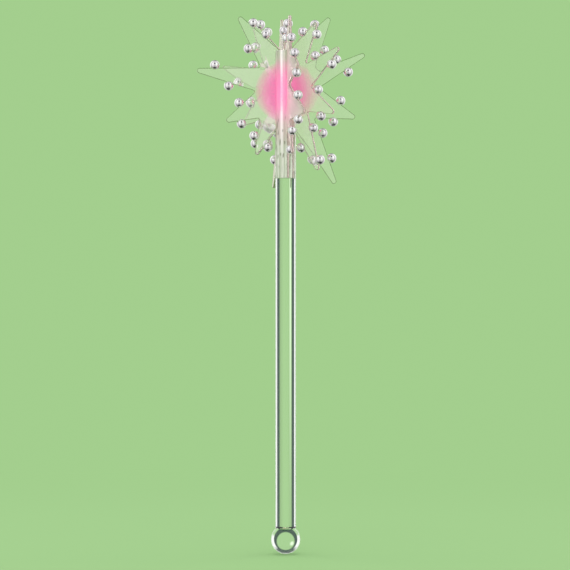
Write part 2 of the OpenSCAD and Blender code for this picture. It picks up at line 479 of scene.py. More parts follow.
def plate_mesh(star, steps=5):
    """An edge profile carried round the star's outline: a quarter round from the back face, the cut
    edge, and a quarter round to the front face. The outline moves inwards along the sum of its two
    edge normals, over one plus their product, so that both edges keep the same inset."""
    sizes = star.sizes
    outline = star.outline()
    before = outline - np.roll(outline, 1, axis=0)
    before /= np.linalg.norm(before, axis=1)[:, None]
    after = np.roll(before, -1, axis=0)
    inward = np.stack([-before[:, 1] - after[:, 1], before[:, 0] + after[:, 0]], axis=-1)
    inward /= (1 + np.sum(before * after, axis=1))[:, None]
    bend = np.linspace(0.0, np.pi / 2, steps)
    inset = POLISH + sizes.edge_round * (1 - np.sin(bend))
    rise = sizes.sheet / 2 - sizes.edge_round * (1 - np.cos(bend))
    inset, rise = np.concatenate([inset, inset[::-1]]), np.concatenate([-rise, rise[::-1]])
    rings = outline[None] + inset[:, None, None] * inward[None]
    out = np.broadcast_to(rise[:, None], rings.shape[:2])
    vertices = star.in_space(rings[..., 0], rings[..., 1], out).reshape(-1, 3)
    rows, columns = rings.shape[:2]
    faces = ring_faces(rows, columns)
    front = (np.arange(columns) + (rows - 1) * columns).tolist()
    back = np.arange(columns)[::-1].tolist()
    mesh = make_mesh(f"clear_star_{PLATES[star.plate]}", vertices, faces, [front, back])
    strip = np.arange(len(mesh.polygons)) // columns
    finish = np.where(strip == steps - 1, CUT, ROUNDED)
    finish[len(faces) :] = FACE
    mesh.polygons.foreach_set("material_index", finish.astype(np.int32))
    return mesh


def fade_mesh(star, rows=20, columns=33):
    """The sprayed coat on a plate's front face: two segments of a disc, one on each side of the
    laps. Across runs from the laps to the disc's rim, and up runs along the chord there."""
    sizes = star.sizes
    lap = star.laps()[3]
    skin = sizes.sheet / 2 + sizes.cement_gap * COAT_SHARE
    reach = sizes.fade_radius * COAT_REACH
    across = lap + (reach - lap) * np.linspace(0.0, 1.0, rows)[:, None]
    chord = np.sqrt(sizes.fade_radius**2 - across**2)
    up = chord * np.linspace(-1.0, 1.0, columns)[None, :]
    across = np.broadcast_to(across, up.shape)
    right = star.in_space(across, up, np.full(up.shape, skin)).reshape(-1, 3)
    left = star.in_space(-across, -up, np.full(up.shape, skin)).reshape(-1, 3)
    faces = ring_faces(rows, columns, wrap=False)
    mirrored = ring_faces(rows, columns, first=len(right), wrap=False)
    turned = [face[::-1] for face in faces + mirrored]
    return make_mesh(f"pink_fade_{PLATES[star.plate]}", np.concatenate([right, left]), turned)


def bead_meshes(star, rings=25, arc_steps=35, wall_steps=4):
    """Spheres with one slot each. A slice across the flank is a circle of the sphere, run from one
    lip of the slot round to the other, then down the slot's wall, over its floor and back up. Where
    the circle is narrower than the slot, the slot's floor cuts it straight across. Near the poles
    it doesn't reach the floor, and the slice is a plain circle."""
    sizes = star.sizes
    radius = sizes.bead_diameter / 2 - POLISH
    floor = radius - sizes.bead_bite - sizes.cement_gap
    half = sizes.sheet / 2 + sizes.cement_gap
    polar = np.linspace(0.0, np.pi, rings + 2)[1:-1, None]
    along, slice_radius = radius * np.cos(polar), radius * np.sin(polar)
    lip = np.minimum(half, np.sqrt(np.maximum(slice_radius**2 - floor**2, 0.0)))
    slotted = lip > 0
    start = np.where(slotted, np.arcsin(lip / slice_radius) - np.pi, -PLAIN_ARC * np.pi)
    angle = start * np.linspace(1.0, -1.0, arc_steps)[None, :]
    arc_out, arc_side = slice_radius * np.cos(angle), slice_radius * np.sin(angle)
    lip_out = -np.sqrt(slice_radius**2 - lip**2)
    share = np.arange(1, wall_steps + 1)[None, :] / wall_steps
    closing = np.pi * (CLOSING_START + CLOSING_SPAN * share)
    wall_out = lip_out - (floor + lip_out) * share
    wall_out = np.where(slotted, wall_out, slice_radius * np.cos(closing))
    wall_side = np.where(lip < half, lip * (1 - SLOT_LEAN * share), lip)
    wall_side = np.where(slotted, wall_side, slice_radius * np.sin(closing))
    out = np.concatenate([arc_out, wall_out, wall_out[:, ::-1]], axis=1)
    side = np.concatenate([arc_side, wall_side, -wall_side], axis=1)
    along = np.broadcast_to(along, out.shape)
    columns = out.shape[1]
    here = np.arange(columns)
    poles = rings * columns
    faces = ring_faces(rings, columns)
    faces += np.column_stack([np.full(columns, poles), (here + 1) % columns, here]).tolist()
    last = (rings - 1) * columns + here
    faces += np.column_stack([np.full(columns, poles + 1), last, np.roll(last, -1)]).tolist()
    out = np.append(out.reshape(-1), [0.0, 0.0])
    side = np.append(side.reshape(-1), [0.0, 0.0])
    along = np.append(along.reshape(-1), [radius, -radius])

    centres, normals = star.bead_seats()
    normal, tangent = unit(normals), unit(normals + np.pi / 2)
    spots = centres[:, None] + out[None, :, None] * normal[:, None]
    spots = spots + along[None, :, None] * tangent[:, None]
    placed = star.in_space(spots[..., 0], spots[..., 1], np.broadcast_to(side, spots.shape[:2]))
    names = [f"bead_{PLATES[star.plate]}_{number + 1:02d}" for number in range(len(centres))]
    meshes = [make_mesh(f"silver_{name}", points, faces) for name, points in zip(names, placed)]
    return zip(names, meshes)


# Shader node groups and materials


def opaque(colour):
    """A colour as four channels."""
    return (*colour, 1.0)


def set_inputs(item, inputs):
    """Links inputs of a node to sockets, or sets them to values."""
    for key, value in inputs.items():
        if isinstance(value, bpy.types.NodeSocket):
            item.id_data.links.new(value, item.inputs[key])
        else:
            item.inputs[key].default_value = value


def set_values(shader, **values):
    """As set_inputs, with an underscore for each space in the name of a socket."""
    set_inputs(shader, {key.replace("_", " "): value for key, value in values.items()})


def add_node(tree, kind, inputs=None, **settings):
    """A node with its settings made and its inputs linked to sockets or set to values."""
    item = tree.nodes.new(kind)
    for key, value in settings.items():
        setattr(item, key, value)
    set_inputs(item, inputs or {})
    return item


def find_node(tree, kind):
    """The first node of a kind in a tree."""
    return next(item for item in tree.nodes if item.type == kind)


def remapped(tree, value, low, high, to_low=0.0, to_high=1.0, smooth=False):
    """A value mapped from one range to another and held within it."""
    inputs = {"Value": value, "From Min": low, "From Max": high}
    inputs |= {"To Min": to_low, "To Max": to_high}
    kind = "SMOOTHSTEP" if smooth else "LINEAR"
    return add_node(tree, "ShaderNodeMapRange", inputs, interpolation_type=kind).outputs["Result"]


def over_degrees(tree, angle, low, high, to_low=0.0, to_high=1.0, smooth=False):
    """As remapped, with the range of the angle in degrees."""
    return remapped(tree, angle, *np.radians([low, high]), to_low, to_high, smooth)


def maths(tree, operation, first, second=0.0, **settings):
    """The result of a Math node on one or two values or sockets."""
    inputs = {0: first, 1: second}
    return add_node(tree, "ShaderNodeMath", inputs, operation=operation, **settings).outputs[0]


def vector_maths(tree, operation, *vectors):
    """The outputs of a Vector Math node."""
    inputs = dict(enumerate(vectors))
    return add_node(tree, "ShaderNodeVectorMath", inputs, operation=operation).outputs


def parts(tree, vector):
    """The X, Y and Z of a vector."""
    return add_node(tree, "ShaderNodeSeparateXYZ", {0: vector}).outputs


def noise(tree, where, scale, detail, roughness=0.5):
    """Soft noise from nought to one."""
    inputs = {"Vector": where, "Scale": scale, "Detail": detail, "Roughness": roughness}
    return add_node(tree, "ShaderNodeTexNoise", inputs).outputs["Fac"]


def drawn_out(tree, where, share):
    """Coordinates that take a share of the height, so that what they carry is drawn out."""
    inputs = {"Vector": where, "Scale": (1.0, 1.0, share)}
    return add_node(tree, "ShaderNodeMapping", inputs).outputs["Vector"]


def mixed_colour(tree, factor, first, second):
    """A colour between two others."""
    inputs = {MIX_FACTOR: factor, MIX_FIRST: first, MIX_SECOND: second}
    for key in (MIX_FIRST, MIX_SECOND):
        if not isinstance(inputs[key], bpy.types.NodeSocket):
            inputs[key] = opaque(inputs[key])
    return add_node(tree, "ShaderNodeMix", inputs, data_type="RGBA").outputs[MIX_RESULT]


def colour_ramp(tree, value, stops):
    """A colour that runs through stops along a value. Each stop is a value and a colour."""
    ramp = add_node(tree, "ShaderNodeValToRGB", {"Fac": value})
    elements = ramp.color_ramp.elements
    while len(elements) < len(stops):
        elements.new(0.5)
    for element, (position, colour) in zip(elements, stops):
        element.position = position
        element.color = opaque(colour)
    return ramp.outputs["Color"]


def new_group(name, inputs, outputs):
    """A shader node group with named sockets. Each input has a default, or None for a vector."""
    group = bpy.data.node_groups.new(name, "ShaderNodeTree")
    for label, default in inputs.items():
        kind = "NodeSocketFloat" if isinstance(default, float) else "NodeSocketVector"
        socket = group.interface.new_socket(label, in_out="INPUT", socket_type=kind)
        if default is not None:
            socket.default_value = default
    for label in outputs:
        group.interface.new_socket(label, in_out="OUTPUT", socket_type="NodeSocketFloat")
    return group, group.nodes.new("NodeGroupInput").outputs, group.nodes.new("NodeGroupOutput")


def handling_group():
    """Smudges and fine rub marks on polished acrylic and silver: a roughness between two values
    where broad soft noise and fine noise agree, and a height for bumps from the broad noise."""
    group, given, result = new_group(
        "handling_marks",
        {"Vector": None, "Scale": 60.0, "Clean": 0.02, "Smudged": 0.08},
        ("Roughness", "Height"),
    )
    finer = maths(group, "MULTIPLY", given["Scale"], 9.0)
    broad = noise(group, given["Vector"], given["Scale"], detail=3.0)
    fine = noise(group, given["Vector"], finer, detail=4.0)
    both = maths(group, "MULTIPLY", broad, fine)
    rough = remapped(group, both, 0.18, 0.42, given["Clean"], given["Smudged"], smooth=True)
    set_values(result, Roughness=rough, Height=broad)
    return group


def fade_group():
    """Strength of the sprayed pink: one less the square of the distance over the radius, raised to
    the fall, so that it is full at the stars' centre and drops to nothing at the radius. The grain
    of the spray shows over it."""
    group, given, result = new_group(
        "sprayed_fade",
        {"Vector": None, "Centre": (0.0, 0.0, 0.0), "Radius": 0.018, "Fall": 0.6},
        ("Strength",),
    )
    away = vector_maths(group, "DISTANCE", given["Vector"], given["Centre"])["Value"]
    share = maths(group, "DIVIDE", away, given["Radius"])
    inside = maths(group, "SUBTRACT", 1.0, maths(group, "MULTIPLY", share, share), use_clamp=True)
    coat = maths(group, "POWER", inside, given["Fall"])
    grain = noise(group, given["Vector"], scale=2600.0, detail=2.0)
    spots = remapped(group, grain, 0.3, 0.7, 0.78, 1.12)
    set_values(result, Strength=maths(group, "MULTIPLY", coat, spots, use_clamp=True))
    return group


def use_group(tree, name, builder, **inputs):
    """The outputs of a node group, which is built once and used again by name."""
    group = bpy.data.node_groups.get(name) or builder()
    return add_node(tree, "ShaderNodeGroup", inputs, node_tree=group).outputs


def handling_marks(shader, where, scale, clean, smudged):
    """Puts smudges in a shader's roughness and gives their height for bumps."""
    values = {"Vector": where, "Scale": scale, "Clean": clean, "Smudged": smudged}
    marks = use_group(shader.id_data, "handling_marks", handling_group, **values)
    set_values(shader, Roughness=marks["Roughness"])
    return marks["Height"]


def sprayed_fade(tree, where, sizes, fall, spread=1.0):
    """Strength of the pink sprayed round the stars' centre, over a spread of its radius."""
    values = {"Vector": where, "Centre": (0.0, 0.0, star_centre(sizes)), "Fall": fall}
    values["Radius"] = sizes.fade_radius * spread
    return use_group(tree, "sprayed_fade", fade_group, **values)["Strength"]


def link_bump(shader, height, strength, distance):
    """Feeds a height through a Bump node to the shader's normal."""
    inputs = {"Height": height, "Strength": strength, "Distance": distance}
    bump = add_node(shader.id_data, "ShaderNodeBump", inputs)
    set_values(shader, Normal=bump.outputs["Normal"])


def bare_material(name):
    """A material, its tree, its Principled shader and the socket of its object coordinates."""
    material = bpy.data.materials.new(name)
    material.use_nodes = True
    tree = material.node_tree
    where = tree.nodes.new("ShaderNodeTexCoord").outputs["Object"]
    return material, tree, find_node(tree, "BSDF_PRINCIPLED"), where


def shared_material(name, finish, *values):
    """A material that is finished once and used again by name."""
    material = bpy.data.materials.get(name)
    if not material:
        material, *nodes = bare_material(name)
        finish(*nodes, *values)
    return material


def make_clear(shader, share, tint):
    """Lets a share of the light through as acrylic does, with a tint."""
    set_values(shader, Base_Color=tint, Transmission_Weight=share, IOR=ACRYLIC_IOR)


def clear_finish(tree, shader, where, colour):
    """Polished clear acrylic with faint smudges."""
    height = handling_marks(shader, where, scale=70.0, clean=0.0, smudged=0.05)
    make_clear(shader, 1.0, mixed_colour(tree, height, colour, WHITE))
    link_bump(shader, height, strength=0.05, distance=0.2 * MM)


def painted_light_line(tree, height, centre):
    """A painted highlight: a line of light painted up each prong, in place of the light that the
    sawn walls behind it throw forward. It is brightest beside the stars and weakens towards the
    floor of the slots."""
    across = add_node(tree, "ShaderNodeAttribute", attribute_name="across").outputs["Fac"]
    off = maths(tree, "ABSOLUTE", maths(tree, "SUBTRACT", across, 0.65))
    line = remapped(tree, off, 0.0, 0.17, 0.8, 0.0, smooth=True)
    lit = remapped(tree, height, centre - 45 * MM, centre - 15 * MM, 0.05, 1.0, smooth=True)
    return maths(tree, "MULTIPLY", line, lit)


def milky_finish(tree, shader, where, sizes, clear, rough):
    """Acrylic clouded by the saw and the cement, with fine streaks running up and down, small
    drawn-out bubbles low down and the sprayed pink showing in it. A painted highlight runs up each
    prong, and a painted glow, dim green and pink where the spray shows, stands in for light piped
    through the acrylic. Clear is the share of light let through, and rough is its range of
    roughness."""
    height, centre = parts(tree, where)["Z"], star_centre(sizes)
    upright = drawn_out(tree, where, share=0.03)
    streaks = noise(tree, upright, scale=560.0, detail=3.0, roughness=0.65)
    shade = remapped(tree, streaks, 0.42, 0.60)
    cloud = mixed_colour(tree, shade, (0.50, 0.56, 0.43), (1.0, 1.0, 0.93))
    mauve = mixed_colour(tree, shade, (0.60, 0.44, 0.44), (0.92, 0.78, 0.78))
    pink = mixed_colour(tree, shade, (0.90, 0.26, 0.52), (1.0, 0.50, 0.74))

    fade = sprayed_fade(tree, where, sizes, fall=1.1, spread=1.25)
    low = remapped(tree, height, centre - 36 * MM, centre - 24 * MM, smooth=True)
    high = remapped(tree, height, centre, centre + 12 * MM, 1.0, 0.25, smooth=True)
    rim = remapped(tree, fade, 0.0, 0.25, 0.0, 0.4)
    rim = maths(tree, "MAXIMUM", maths(tree, "MULTIPLY", low, high), rim)
    tint = mixed_colour(tree, rim, cloud, mauve)
    tint = mixed_colour(tree, remapped(tree, fade, 0.2, 0.75), tint, pink)
    # Painted glow: the rod gives off a dim green light, pink where the spray shows, in place of
    # light piped through the acrylic.
    glow = mixed_colour(tree, fade, (0.09, 0.12, 0.06), (0.40, 0.13, 0.24))

    # Painted highlight: along the painted line the colour turns white, pink at the spray's middle,
    # and the painted glow turns pale.
    line = painted_light_line(tree, height, centre)
    core = remapped(tree, fade, 0.55, 1.0)
    tint = mixed_colour(tree, line, tint, mixed_colour(tree, core, WHITE, (1.0, 0.46, 0.70)))
    pale = mixed_colour(tree, core, (0.75, 0.70, 0.70), (0.80, 0.26, 0.44))
    glow = mixed_colour(tree, line, glow, pale)

    bubbles = noise(tree, drawn_out(tree, where, share=0.35), scale=750.0, detail=0.0)
    bubbles = remapped(tree, bubbles, 0.62, 0.70, 0.0, 0.75, smooth=True)
    below = remapped(tree, height, centre - 22 * MM, centre - 12 * MM, 1.0, 0.15, smooth=True)
    bubbles = maths(tree, "MULTIPLY", bubbles, below)
    make_clear(shader, clear, mixed_colour(tree, bubbles, tint, (0.16, 0.15, 0.13)))
    set_values(shader, Roughness=remapped(tree, streaks, 0.3, 0.7, *rough))
    set_values(shader, Emission_Color=glow, Emission_Strength=0.5)
    link_bump(shader, streaks, strength=0.4, distance=0.2 * MM)


def sheet_finish(tree, shader, where, sizes, mist):
    """Clear sheet of one plate, tinted faintly where the pink is sprayed. The mist of pink that
    drifted over the plate shows as a sheen at a slant. A faint painted glow, stronger on mistier
    plates, lightens the sheet."""
    height = handling_marks(shader, where, scale=90.0, clean=0.04, smudged=0.13)
    misty = (1.0, 0.995 - 0.11 * mist, 0.99 - 0.08 * mist)
    fade = sprayed_fade(tree, where, sizes, fall=1.0)
    tint = mixed_colour(tree, fade, misty, (1.0, 0.90, 0.94))
    make_clear(shader, 0.965 - 0.13 * mist, tint)
    sheen = (1.0, 0.72, 0.74)
    set_values(shader, Sheen_Weight=mist, Sheen_Roughness=0.4, Sheen_Tint=opaque(sheen))
    # Painted glow: a faint emission that lightens the sheet.
    glow = np.array([0.025, 0.028, 0.022]) + 0.03 * mist
    set_values(shader, Emission_Color=opaque(glow), Emission_Strength=1.0)
    link_bump(shader, height, strength=0.12, distance=0.3 * MM)


def round_finish(tree, shader, where, mist):
    """Polished rounds at the rim of one plate. The front plate's are tinted dark olive, a painted
    shade for the dark lines at its edges, and the others hold some of the pink mist."""
    height = handling_marks(shader, where, scale=160.0, clean=0.02, smudged=0.1)
    # Painted shade: the front plate's rounds are tinted dark olive.
    body, misty = ((0.16, 0.20, 0.09), (0.36, 0.42, 0.26)), ((0.50, 0.44, 0.38), (0.80, 0.72, 0.66))
    make_clear(shader, 1.0, mixed_colour(tree, height, *(body if mist < LIGHT_MIST else misty)))


def cut_finish(tree, shader, where, sizes, mist):
    """Cut faces round one plate, hazed by the cutter. The front plate's are mostly dark olive, a
    painted shade for the dark lines at its edges. The others hold some of the pink mist, with
    painted shade where they face down and low at the back of the side plate. A faint painted glow
    lies over all of them."""
    height = handling_marks(shader, where, scale=400.0, clean=0.2, smudged=0.45)
    # Painted shade: the faces turn dark olive where they face down, and the front plate's are
    # mostly dark olive all over.
    upward = parts(tree, tree.nodes.new("ShaderNodeTexCoord").outputs["Normal"])["Z"]
    under, clean = (0.8, 0.6) if mist < LIGHT_MIST else (0.3, 0.0)
    dark = remapped(tree, upward, -0.6, -0.1, under, clean, smooth=True)
    if mist > HEAVY_MIST:
        # Painted shade low at the back of the side plate.
        spot, low = parts(tree, where), star_centre(sizes) - 28 * MM
        low_back_shade = remapped(tree, spot["Z"], low - 8 * MM, low, 0.9, 0.0, smooth=True)
        behind = remapped(tree, spot["Y"], 2 * MM, 8 * MM)
        dark = maths(tree, "MAXIMUM", dark, maths(tree, "MULTIPLY", low_back_shade, behind))
    mauve = mixed_colour(tree, height, (0.70, 0.52, 0.54), (0.90, 0.75, 0.75))
    make_clear(shader, 0.6, mixed_colour(tree, dark, mauve, (0.15, 0.21, 0.08)))
    # Painted glow: a faint emission, mauve on the pale faces and dark green on the painted shade,
    # so that the edges never go black.
    glow = mixed_colour(tree, dark, (0.58, 0.44, 0.43), (0.10, 0.16, 0.06))
    set_values(shader, Emission_Color=glow, Emission_Strength=0.25)
    link_bump(shader, height, strength=0.3, distance=0.1 * MM)


def spray_finish(tree, shader, where, sizes, edge, middle):
    """Sprayed pink that covers at the middle and thins to nothing at its rim. It has a painted
    glow: it gives off its own colour as light, in place of the light coming through the clear sheet
    behind, over a base colour darkened to half."""
    fade = sprayed_fade(tree, where, sizes, fall=0.5)
    colour = mixed_colour(tree, fade, edge, middle)
    set_values(shader, Base_Color=mixed_colour(tree, 0.5, colour, BLACK), Roughness=0.5)
    # Painted glow: the pink gives off its own colour as light.
    set_values(shader, Emission_Color=colour, Emission_Strength=0.55)
    set_values(shader, Alpha=remapped(tree, fade, 0.0, 1.0, 0.0, 0.9))
    grain = noise(tree, where, scale=3000.0, detail=2.0)
    link_bump(shader, grain, strength=0.1, distance=0.1 * MM)


def silver_finish(tree, shader, where, colour):
    """Mirror silver with rubbed patches and a faint lilac bloom."""
    height = handling_marks(shader, where, scale=220.0, clean=0.03, smudged=0.12)
    bloom = remapped(tree, height, 0.4, 0.7, smooth=True)
    tint = mixed_colour(tree, bloom, colour, (0.86, 0.80, 0.88))
    set_values(shader, Base_Color=tint, Metallic=1.0)
    link_bump(shader, height, strength=0.08, distance=0.2 * MM)


# Stage


def hide_from(item, *rays):
    """Takes a stage piece or a lamp out of the sight of some kinds of ray."""
    for ray in rays:
        setattr(item, f"visible_{ray}", False)


def add_floor(colour):
    """A flat floor just under the ball."""
    ground = BALL_LOW.z - FLOOR_GAP
    mesh = bpy.data.meshes.new("floor")
    corners = [(-1, -1), (1, -1), (1, 1), (-1, 1)]
    places = [(x * FLOOR_REACH, y * FLOOR_REACH, ground) for x, y in corners]
    mesh.from_pydata(places, [], [(0, 1, 2, 3)])
    mesh.materials.append(floor_material(colour))
    floor = bpy.data.objects.new("floor", mesh)
    bpy.context.scene.collection.objects.link(floor)
    hide_from(floor, "transmission", "glossy", "diffuse")


def aim(item, place, target):
    """Stands a lamp or the camera at a place and points it at a target."""
    item.location = place
    item.rotation_euler = (Vector(target) - Vector(place)).to_track_quat("-Z", "Y").to_euler()


def softbox(name, place, target, width, height, radiance):
    """A rectangular lamp of a given radiance, unseen by the camera. Its power is pi times radiance
    times area."""
    lamp = bpy.data.lights.new(name, "AREA")
    lamp.shape, lamp.size, lamp.size_y = "RECTANGLE", width, height
    lamp.energy = np.pi * radiance * width * height
    item = bpy.data.objects.new(name, lamp)
    bpy.context.scene.collection.objects.link(item)
    aim(item, place, target)
    hide_from(item, "camera", "glossy", "transmission")


def floor_material(colour):
    """A matt floor near the wand that turns into the even background further out."""
    material, tree, shader, where = bare_material("plain_floor")
    set_values(shader, Base_Color=opaque(colour), Roughness=0.9, Specular_IOR_Level=0.1)
    even = add_node(tree, "ShaderNodeEmission", {"Color": opaque(colour), "Strength": 1.0})
    away = vector_maths(tree, "LENGTH", where)["Value"]
    far = remapped(tree, away, 0.12, 0.6, 0.35, 1.0, smooth=True)
    shaders = {0: far, 1: shader.outputs["BSDF"], 2: even.outputs["Emission"]}
    mix = add_node(tree, "ShaderNodeMixShader", shaders)
    set_values(find_node(tree, "OUTPUT_MATERIAL"), Surface=mix.outputs["Shader"])
    return material


def card_material(name, colour, strength=1.0):
    """A card that gives off its own colour, its tree, its Emission shader and its coordinates."""
    material, tree, shader, where = bare_material(name)
    tree.nodes.remove(shader)
    glow = add_node(tree, "ShaderNodeEmission", {"Color": opaque(colour), "Strength": strength})
    set_values(find_node(tree, "OUTPUT_MATERIAL"), Surface=glow.outputs["Emission"])
    return material, tree, glow, where


def see_through(tree, glow):
    """Lets what doesn't take a card's light look straight through it."""
    through = tree.nodes.new("ShaderNodeBsdfTransparent")
    shaders = {0: glow.outputs["Emission"], 1: through.outputs["BSDF"]}
    both = add_node(tree, "ShaderNodeAddShader", shaders)
    set_values(find_node(tree, "OUTPUT_MATERIAL"), Surface=both.outputs["Shader"])


def bearing_of(tree, spot):
    """Angle of a spot round the wand, from straight behind it."""
    return maths(tree, "ARCTAN2", spot["X"], spot["Y"])


def strong_bands(colour):
    """Bearings in degrees from behind the wand to beside it, and their colours."""
    dark = (0.03, 0.07, 0.05)
    return [
        (8, colour),
        (24, np.array(colour) * 0.75),
        (27, dark),
        (43, dark),
        (46, TENT_WHITE),
        (61, TENT_WHITE),
        (64, dark),
        (69, dark),
        (74, colour),
    ]


def quiet_bands(colour):
    """As strong_bands, but only darker than the colour in two places."""
    shaded = np.array(colour) * 0.35
    darker = [(20, 25, 29, 34), (62, 68, 75, 80)]
    return [band for place in darker for band in zip(place, (colour, shaded, shaded, colour))]


def banded(tree, bearing, bands):
    """The colour at a bearing, from bands that run from behind to beside the wand and back."""
    folded = maths(tree, "PINGPONG", bearing, np.pi / 2)
    stops = [(degrees / 90, colour) for degrees, colour in bands]
    return colour_ramp(tree, remapped(tree, folded, 0.0, np.pi / 2), stops)


def rod_tent_material(colour):
    """Upright bands of light and dark behind the wand and near its level, which the rod shows as
    lines along its edges, with a bright strip behind on the left. The tent is quiet elsewhere."""
    material, tree, glow, where = card_material("rod_tent", colour)
    spot = parts(tree, vector_maths(tree, "NORMALIZE", where)["Vector"])
    bearing = bearing_of(tree, spot)
    off = maths(tree, "ABSOLUTE", maths(tree, "ADD", bearing, STRIP_BEARING))
    strip = over_degrees(tree, off, 2.0, 6.0, 1.0, 0.0, smooth=True)
    above = remapped(tree, spot["Z"], -0.136, 0.028, smooth=True)
    strip = maths(tree, "MULTIPLY", strip, above)
    strong = banded(tree, bearing, strong_bands(colour))
    lit = mixed_colour(tree, strip, strong, (0.8, 1.05, 0.68))
    level = remapped(tree, spot["Z"], -0.2, -0.145, smooth=True)
    behind = maths(tree, "MULTIPLY", remapped(tree, spot["Y"], 0.0, 0.1), level)
    quiet = banded(tree, bearing, quiet_bands(colour))
    set_values(glow, Color=mixed_colour(tree, behind, quiet, lit))
    see_through(tree, glow)
    return material


def ball_tent_material(colour):
    """A dark ring round the way straight behind the ball, thicker below, with white beyond it to
    the left and right and more dark above. A bright spot stands inside the ring on the left. The
    ball turns all of this upside down."""
    dark = (0.02, 0.06, 0.04)
    material, tree, glow, where = card_material("ball_tent", colour)
    away = vector_maths(tree, "NORMALIZE", where)["Vector"]

    def along(*direction):
        return vector_maths(tree, "DOT_PRODUCT", away, direction)["Value"]

    across = maths(tree, "ABSOLUTE", along(1.0, 0.0, 0.0))
    up = along(0.0, np.sin(RING_TILT), np.cos(RING_TILT))
    angle = maths(tree, "ARCCOSINE", along(0.0, np.cos(RING_TILT), -np.sin(RING_TILT)))
    roll = maths(tree, "ARCTAN2", up, across)
    spot = maths(tree, "ARCCOSINE", along(*SPOT_DIRECTION))
    spot = over_degrees(tree, spot, 2.0, 9.0, 1.0, 0.0, smooth=True)
    inside = mixed_colour(tree, spot, colour, (0.85, 1.05, 0.75))
    rim = remapped(tree, up, -0.35, 0.5, *np.radians([22.0, 37.0]))
    ring = over_degrees(tree, maths(tree, "SUBTRACT", angle, rim), -6.0, 1.0, smooth=True)
    ringed = mixed_colour(tree, ring, inside, dark)
    beside = over_degrees(tree, roll, -26.0, -10.0, smooth=True)
    outside = mixed_colour(tree, beside, colour, TENT_WHITE)
    outside = mixed_colour(tree, over_degrees(tree, roll, 32.0, 52.0), outside, dark)
    shown = mixed_colour(tree, over_degrees(tree, angle, 40.0, 42.5), ringed, outside)
    quiet = banded(tree, bearing_of(tree, parts(tree, away)), quiet_bands(colour))
    shown = mixed_colour(tree, over_degrees(tree, angle, 68.0, 74.0), shown, quiet)
    set_values(glow, Color=shown)
    see_through(tree, glow)
    return material


def dome_material():
    """Soft light and shade by height, as a tent of pale cloth gives over a dark table: dark below,
    palest a little above the level and dimmer overhead. The cloth is dimmer at each quarter turn,
    and has a dark round opening in front and one behind."""
    material, tree, glow, where = card_material("dome", WHITE)
    spot = parts(tree, where)
    level = maths(tree, "DIVIDE", spot["Z"], DOME_RADIUS)
    heights = [
        (-62, (0.04, 0.05, 0.04)),
        (-46, (0.45, 0.45, 0.43)),
        (-12, (0.84, 0.85, 0.82)),
        (8, (1.0, 1.02, 0.97)),
        (40, (1.1, 1.12, 1.07)),
        (90, (0.7, 0.71, 0.68)),
    ]
    stops = [((np.sin(np.radians(degrees)) + 1) / 2, shade) for degrees, shade in heights]
    cloth = colour_ramp(tree, remapped(tree, level, -1.0, 1.0), stops)
    bearing = bearing_of(tree, spot)
    quarter = maths(tree, "PINGPONG", bearing, np.pi / 4)
    window = over_degrees(tree, quarter, 6.0, 36.0, smooth=True)
    aside = maths(tree, "PINGPONG", bearing, np.pi / 2)
    aside = maths(tree, "DIVIDE", aside, np.radians(30.0))
    up = maths(tree, "SUBTRACT", maths(tree, "ARCSINE", level), np.radians(36.0))
    up = maths(tree, "DIVIDE", up, np.radians(18.0))
    squares = [maths(tree, "MULTIPLY", value, value) for value in (aside, up)]
    opening = remapped(tree, maths(tree, "ADD", *squares), 0.35, 1.0, 1.0, 0.0, smooth=True)
    panes = mixed_colour(tree, window, (0.66, 0.65, 0.65), (1.08, 1.08, 1.08))
    pale = vector_maths(tree, "MULTIPLY", cloth, panes)["Vector"]
    set_values(glow, Color=mixed_colour(tree, opening, pale, (0.06, 0.05, 0.07)))
    return material


def backdrop_material(colour):
    """The even background, as the plates and the beads see it."""
    return card_material("backdrop", colour)[0]


def rim_material():
    """White light that shows only at the rims of the clear pieces."""
    material, tree, glow, _ = card_material("rim_light", WHITE, 1.3)
    see_through(tree, glow)
    return material


def dome_mesh(name, radius, rings=32, columns=64, pole=0.02):
    """A sphere round the wand, faced inwards: the polar angle runs from the top to the bottom."""
    polar = np.linspace(np.pi - pole, pole, rings)
    last = (rings - 1) * columns
    ends = [list(range(columns)), list(range(last + columns - 1, last - 1, -1))]
    faces = [face[::-1] for face in ring_faces(rings, columns) + ends]
    return make_mesh(name, sphere_points(radius, polar, columns), faces)


def add_stage_surface(material, radius, height, unseen_by, state, *pieces):
    """Puts a light-giving sphere round the wand that some kinds of ray don't see. Its light reaches
    only the named pieces, or all but them."""
    mesh = dome_mesh(material.name, radius)
    material.cycles.emission_sampling = "NONE"
    mesh.materials.append(material)
    surface = bpy.data.objects.new(mesh.name, mesh)
    surface.location = (0, 0, height)
    bpy.context.scene.collection.objects.link(surface)
    hide_from(surface, "camera", "diffuse", "shadow", unseen_by)
    receivers = bpy.data.collections.new(f"lit_by_{surface.name}")
    for name in pieces:
        piece = bpy.data.objects.get(name)
        if piece:
            receivers.objects.link(piece)
    for entry in receivers.collection_objects:
        entry.light_linking.link_state = state
    surface.light_linking.receiver_collection = receivers


def add_camera(scene):
    """A level camera at the height of the picture's middle, with a lens that takes in its width."""
    camera = bpy.data.cameras.new("camera")
    camera.lens = SENSOR_WIDTH / 2 / (VIEW_HALF_WIDTH / CAMERA_DISTANCE)
    item = bpy.data.objects.new("camera", camera)
    scene.collection.objects.link(item)
    aim(item, (VIEW_MIDDLE[0], -CAMERA_DISTANCE, VIEW_MIDDLE[2]), VIEW_MIDDLE)
    scene.camera = item


